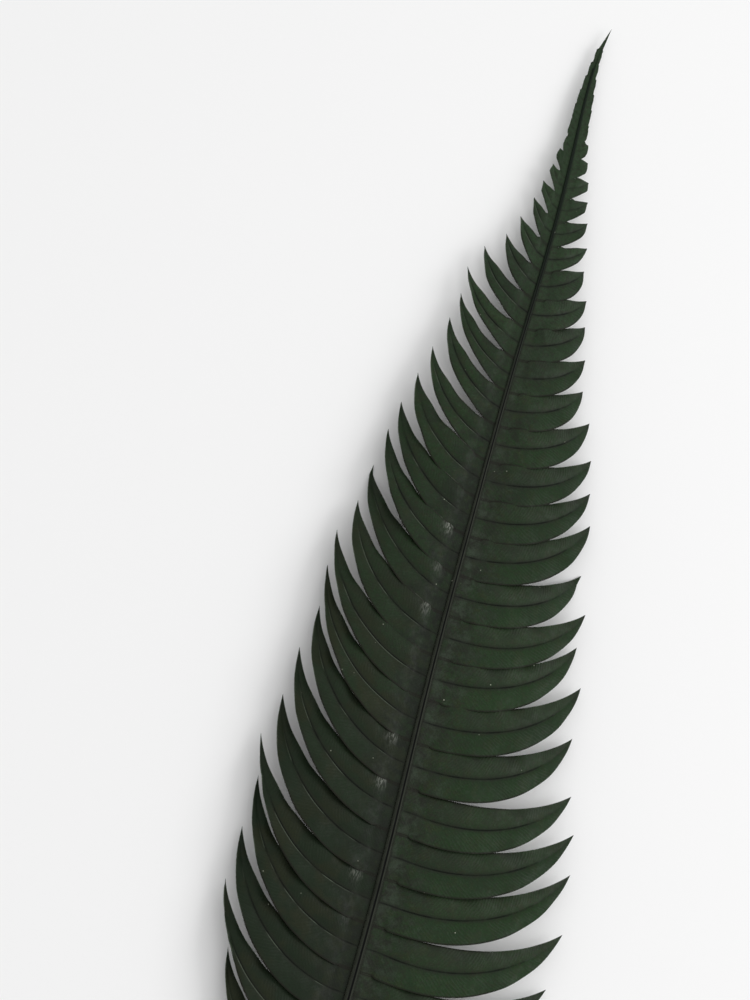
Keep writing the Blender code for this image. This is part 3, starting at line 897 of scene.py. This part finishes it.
class Lamina(Nodes):
    """Node tree of the lamina, with the values that its layers of colour share."""

    def __init__(self):
        super().__init__("fern_lamina")
        self.place = self.position((1, 1, 1))
        self.along = self.attribute("along")
        self.across = self.attribute("across")
        self.reach = self.attribute("reach")
        self.down = self.attribute("down")
        self.offset = self.attribute("vein")
        self.left = self.attribute("left")
        self.side_distance = self.math("ABSOLUTE", self.offset)
        self.lower = self.ramp(self.down, *LOWER_PART)
        self.blotch = self.noise(self.place, *BLOTCH_NOISE)
        self.patch = self.noise(self.place, *PATCH_NOISE)
        self.grain = self.noise(self.place, *GRAIN_NOISE)
        self.relief = None

    def mottling(self):
        """Greens and browns of the whole lamina, painted shade dulling the left, and painted light and shade
        on the two halves about each midrib.
        """
        mottle = self.noise(self.place, *MOTTLE_NOISE)
        leaf = self.mix(self.ramp(self.blotch, *BLUE_BLOTCHES), LEAF_GREEN, BLUE_GREEN)
        leaf = self.tint(leaf, OLIVE, self.ramp(self.patch, *OLIVE_PATCHES))
        leaf = self.tint(leaf, FRESH_GREEN, self.ramp(self.down, *FRESH_TIP))
        leaf = self.tint(leaf, GREY_BROWN, self.ramp(mottle, *BROWN_MOTTLES))
        leaf = self.tint(leaf, PALE_GREEN, self.ramp(mottle, *PALE_MOTTLES))
        # Painted light and shade of the fold: the upper half lighter, the lower half darker
        fold_light = self.times(self.ramp(self.reach, *FOLD_REACH), self.ramp(self.left, *FOLD_LEFT))
        fold_light = self.times(fold_light, self.ramp(self.down, *FOLD_DOWN))
        leaf = self.tint(leaf, LIT_SAGE_GREEN, fold_light, self.ramp(self.across, *LIT_UPPER_HALF))
        leaf = self.tint(leaf, SHADED_RICH_GREEN, fold_light, self.ramp(self.across, *SHADED_LOWER_HALF))
        # Painted shade: the left side greyer and, lower down, deeper green
        leaf = self.tint(leaf, LEFT_SHADE_GREEN, self.left, self.ramp(self.down, *LEFT_SHADE))
        leaf = self.tint(leaf, DEEP_GREEN, self.left, self.ramp(self.down, *LEFT_DEEP_SHADE))
        olive = self.times(self.ramp(self.blotch, *OLIVE_BLOTCHES), self.ramp(self.down, *OLIVE_DOWN))
        leaf = self.tint(leaf, OLIVE_BROWN, self.left, olive)
        return self.tint(leaf, DEEP_GREEN, self.attribute("tone"), TONE_SHARE)

    def roots_and_tips(self, leaf):
        """Brown and pale clouds beside the stalk, in the upper halves and at the tips."""
        shift = self.times(self.math("SUBTRACT", self.patch, 0.5), ROOT_SPREAD)
        spread = self.math("ADD", self.reach, shift)
        root = self.times(self.ramp(spread, *ROOT_REACH), self.ramp(self.down, *ROOT_DOWN))
        pale = self.times(root, self.ramp(self.noise(self.place, *PALE_NOISE), *PALE_ROOTS))
        tips = self.ramp(self.along, *BROWN_TIPS)
        upper = self.times(self.ramp(self.across, *BROWN_UPPER), self.ramp(self.blotch, *BROWN_BLOTCHES))
        brown = self.math("MAXIMUM", root, tips)
        brown = self.math("MAXIMUM", brown, self.times(upper, BROWN_UPPER_SHARE))
        brown = self.times(brown, self.ramp(self.noise(self.place, *BROWN_NOISE), *BROWN_PATCHES))
        # On the left these browns take the darker ROOT_SHADE, painted shade
        leaf = self.mix(brown, leaf, self.mix(self.left, ROOT_BROWN, ROOT_SHADE))
        return self.tint(leaf, PALE_GREEN, pale, self.ramp(self.left, *PALE_LEFT))

    def side_veins(self, leaf):
        """Fine slanting side veins, whose relief is kept for the bump."""
        forward, aside = VEIN_SLANT
        line = self.math("SUBTRACT", self.times(self.reach, forward), self.times(self.side_distance, aside))
        wander = self.times(self.noise(self.place, *WANDER_NOISE), VEIN_WANDER)
        wave = self.math("SINE", self.times(self.math("ADD", line, wander), math.tau / VEIN_PITCH))
        outward = self.ramp(self.along, *VEIN_OUTWARD)
        worn = self.ramp(self.noise(self.place, *WORN_NOISE), *VEIN_WORN)
        strength = self.times(outward, self.ramp(self.side_distance, *VEIN_ASIDE), worn)
        veins = self.times(self.ramp(wave, *VEIN_CREST), strength)
        self.relief = self.times(wave, strength)
        return self.tint(leaf, PALE_GREEN, veins, self.ramp(self.left, *VEIN_LEFT))

    def midribs(self, leaf):
        """Dark line along each midrib, a brown band of painted shade about it and, on the left, a painted
        glint beside it.
        """
        # Brown painted shade about the midrib, fading towards the tip
        midrib_shade = self.times(self.ramp(self.side_distance, *MIDRIB_SHADE_WIDTH), self.ramp(self.along, *MIDRIB_SHADE_ALONG))
        leaf = self.tint(leaf, ROOT_BROWN, midrib_shade, self.lower)
        line = self.times(self.ramp(self.side_distance, *LINE_WIDTH), self.ramp(self.along, *LINE_ALONG))
        line = self.times(line, self.ramp(self.noise(self.place, *LINE_NOISE), *LINE_BREAKS))
        leaf = self.tint(leaf, DARK_LINE, line, self.lower)
        # Painted glint along the midrib's raised edge on the left
        glint = self.ramp(self.math("ABSOLUTE", self.math("ADD", self.offset, GLINT_OFFSET)), *GLINT_WIDTH)
        glint = self.times(glint, self.ramp(self.noise(self.place, *GLINT_NOISE), *GLINT_BREAKS))
        glint = self.times(glint, self.ramp(self.along, *GLINT_START), self.ramp(self.along, *GLINT_END))
        return self.tint(leaf, PAINTED_HIGHLIGHT, glint, self.left)

    def edges(self, leaf):
        """Brown seams with painted shade where neighbours touch and a painted highlight along the edge where
        it is free.
        """
        width = self.math("MAXIMUM", self.math("ABSOLUTE", self.across), LEAST_WIDTH)
        edge_ratio = self.math("SUBTRACT", self.math("DIVIDE", 1.0, width), 1.0)
        margin = self.times(self.side_distance, edge_ratio)
        touching = self.ramp(self.along, *TOUCHING_ALONG)
        # Dark brown band with painted shade where neighbours touch
        seam = self.times(self.ramp(margin, *SEAM_WIDTH), touching, SEAM_SHARE)
        leaf = self.tint(leaf, SEAM_SHADE_BROWN, seam, self.lower)
        open_edge = self.times(self.ramp(self.across, *OPEN_HALF), self.ramp(self.along, *OPEN_ALONG))
        open_edge = self.times(open_edge, self.times(self.left, self.ramp(self.down, *OPEN_DOWN)))
        free = self.math("MAXIMUM", self.math("SUBTRACT", 1.0, touching), open_edge)
        # Painted highlight along the free edge
        rim = self.times(self.ramp(margin, *RIM_WIDTH), free)
        return self.tint(leaf, PAINTED_HIGHLIGHT, rim, self.ramp(self.patch, *RIM_BREAKS))

    def stalk_side(self, leaf):
        """Painted shade on the lamina close to the stalk, dark grain and the painted streaked sheen on the
        buckles.
        """
        # Painted shade on the lamina beside the stalk, stronger on the left and lower down
        beside = self.ramp(self.attribute("beside"), *BESIDE_WIDTH)
        beside = self.times(beside, self.ramp(self.left, *BESIDE_LEFT), self.ramp(self.down, *BESIDE_DOWN))
        leaf = self.mix(beside, leaf, self.mix(self.lower, STALK_GREEN, SEAM_SHADE_BROWN))
        leaf = self.tint(leaf, DEEP_GREEN, self.ramp(self.grain, *DARK_GRAIN))
        # Painted highlight: a streaked sheen where the buckles rise
        streak = self.ramp(self.noise(self.position(STREAK_STRETCH), *STREAK_NOISE), *STREAKS)
        return self.tint(leaf, PAINTED_SHEEN, self.attribute("sheen"), streak)

    def specks(self, leaf):
        """Small pale specks, some stronger than others."""
        distance, choice, strength = self.cells(self.place, SPECK_SCALE)
        jitter = self.times(self.math("SUBTRACT", self.grain, 0.5), SPECK_JITTER)
        spot = self.ramp(self.math("ADD", distance, jitter), *SPECK_SIZE)
        spot = self.times(spot, self.ramp(choice, *SPECK_CHOICE))
        return self.tint(leaf, SPECK, spot, self.ramp(strength, *SPECK_STRENGTH))


def leaf_material():
    """Mottled preserved green with dark midribs, fine side veins, brown edges and pale specks."""
    n = Lamina()
    leaf = n.mottling()
    for layer in (n.roots_and_tips, n.side_veins, n.midribs, n.edges, n.stalk_side, n.specks):
        leaf = layer(leaf)
    gloss = n.ramp(n.noise(n.place, *GLOSS_NOISE), *LEAF_GLOSS)
    fine = n.bump(n.noise(n.place, *FINE_NOISE), *FINE_BUMP)
    ribs = n.bump(n.relief, *RIB_BUMP, fine)
    return n.surface(leaf, gloss, LEAF_SPECULAR, n.bump(n.patch, *PATCH_BUMP, ribs))


def stalk_material():
    """Dark grey-brown stalk with lighter ridges, painted shade in its grooves, fine fibres, specks and a
    pale cut end.
    """
    n = Nodes("fern_stalk")
    around = n.attribute("around")
    down = n.attribute("down")
    near = n.position((1, 1, 1))
    fibre = n.noise(n.position(FIBRE_STRETCH), *FIBRE_NOISE)
    ridge = n.ramp(n.math("ABSOLUTE", around), *RIDGE_AROUND)
    colour = n.mix(n.times(ridge, n.ramp(fibre, *RIDGE_FIBRES)), STALK_BROWN, STALK_RIDGE)
    colour = n.tint(colour, STALK_BROWN, n.ramp(n.noise(near, *STALK_PATCH_NOISE), *STALK_PATCHES))
    colour = n.tint(colour, STALK_GREEN, n.ramp(down, *GREEN_DOWN))
    cut = n.ramp(down, *GROOVE_DOWN)
    # Painted shade along each groove, weaker towards the tip
    for centre, depth, width in zip(GROOVES, GROOVE_SHARES, GROOVE_WIDTHS):
        line = n.math("ABSOLUTE", n.math("SUBTRACT", around, centre))
        line = n.ramp(line, GROOVE_SHADE[0] * width, GROOVE_SHADE[1] * width, 1.0, 0.0)
        colour = n.tint(colour, STALK_GROOVE_SHADE, line, cut, depth)
    distance, choice = n.cells(near, STALK_SPECK_SCALE)[:2]
    spot = n.times(n.ramp(distance, *STALK_SPECK_SIZE), n.ramp(choice, *STALK_SPECK_CHOICE))
    colour = n.tint(colour, SPECK, spot, STALK_SPECK_SHARE)
    pith = n.mix(n.noise(near, *PITH_NOISE), PITH, GREY_BROWN)
    colour = n.mix(n.attribute("core"), colour, pith)
    return n.surface(colour, n.ramp(fibre, *STALK_GLOSS), STALK_SPECULAR, n.bump(fibre, *FIBRE_BUMP))


FLOOR_TONE = (0.9, 0.9, 0.9, 1)
FLOOR_ROUGHNESS = 0.9
FLOOR_SPECULAR = 0.1
FLOOR_HALF_SIZE = 6
FLOOR_DROP = 0.2 * MM


def build_floor():
    """A wide plain pale floor on which the frond lies."""
    mesh = bmesh.new()
    bmesh.ops.create_grid(mesh, x_segments=2, y_segments=2, size=FLOOR_HALF_SIZE)
    data = bpy.data.meshes.new("floor")
    mesh.to_mesh(data)
    mesh.free()
    floor = bpy.data.objects.new("floor", data)
    floor.location.z = -FLOOR_DROP
    bpy.context.scene.collection.objects.link(floor)
    data.materials.append(Nodes("studio_floor").surface(FLOOR_TONE, FLOOR_ROUGHNESS, FLOOR_SPECULAR))


# Soft light from the upper right, in metres and watts, and the strength of the pale surround
KEY_PLACE = Vector((1.3, 0.5, 1.1))
KEY_TARGET = Vector((0, 0.05, 0))
KEY_SIZE = 1.0
KEY_POWER = 10
SURROUND_STRENGTH = 0.84


def build_lights():
    """One soft key light from the upper right and a pale surround."""
    light = bpy.data.lights.new("key", "AREA")
    light.size = KEY_SIZE
    light.energy = KEY_POWER
    lamp = bpy.data.objects.new("key", light)
    lamp.location = KEY_PLACE
    lamp.rotation_euler = (KEY_TARGET - KEY_PLACE).to_track_quat("-Z", "Y").to_euler()
    bpy.context.scene.collection.objects.link(lamp)
    world = bpy.data.worlds.new("surround")
    world.use_nodes = True
    background = world.node_tree.nodes["Background"]
    background.inputs["Color"].default_value = (1, 1, 1, 1)
    background.inputs["Strength"].default_value = SURROUND_STRENGTH
    bpy.context.scene.world = world
    bpy.context.scene.view_settings.view_transform = "Standard"


# Viewing angle of the photograph, seen from above the frond's foot on its left: degrees,
# metres, and the lens and sensor in millimetres
CAMERA_AZIMUTH = -40.0
CAMERA_ELEVATION = 66.0
CAMERA_DISTANCE = 0.8
CAMERA_ROLL = 16.551
CAMERA_LENS = 77.40
CAMERA_SENSOR = 36
CAMERA_REACH = 20
CAMERA_TARGET = Vector((-0.041995 + SHIFT_X, 0.068008, 0.01))


def build_camera():
    """Camera turned so that the frond leans to the right as it does in the photograph."""
    a = math.radians(CAMERA_AZIMUTH)
    e = math.radians(CAMERA_ELEVATION)
    back = Vector((math.sin(a) * math.cos(e), -math.cos(a) * math.cos(e), math.sin(e)))
    right = (-back).cross(Vector((0, 1, 0))).normalized()
    up = right.cross(-back)
    c = math.cos(math.radians(CAMERA_ROLL))
    s = math.sin(math.radians(CAMERA_ROLL))
    right, up = right * c + up * s, up * c - right * s
    data = bpy.data.cameras.new("camera")
    data.lens = CAMERA_LENS
    data.sensor_width = CAMERA_SENSOR
    data.clip_end = CAMERA_REACH
    camera = bpy.data.objects.new("camera", data)
    turn = Matrix((right, up, back)).transposed()
    camera.matrix_world = Matrix.Translation(CAMERA_TARGET + back * CAMERA_DISTANCE) @ turn.to_4x4()
    bpy.context.scene.collection.objects.link(camera)
    bpy.context.scene.camera = camera


def main():
    blade = build_blade()
    blade.data.materials.append(leaf_material())
    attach(blade, "root")
    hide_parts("blade")
    stalk = build_stalk()
    stalk.data.materials.append(stalk_material())
    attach(stalk, "root")
    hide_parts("stalk")
    build_floor()
    build_lights()
    build_camera()
    print("lamina faces", len(blade.data.polygons), "stalk faces", len(stalk.data.polygons))


main()
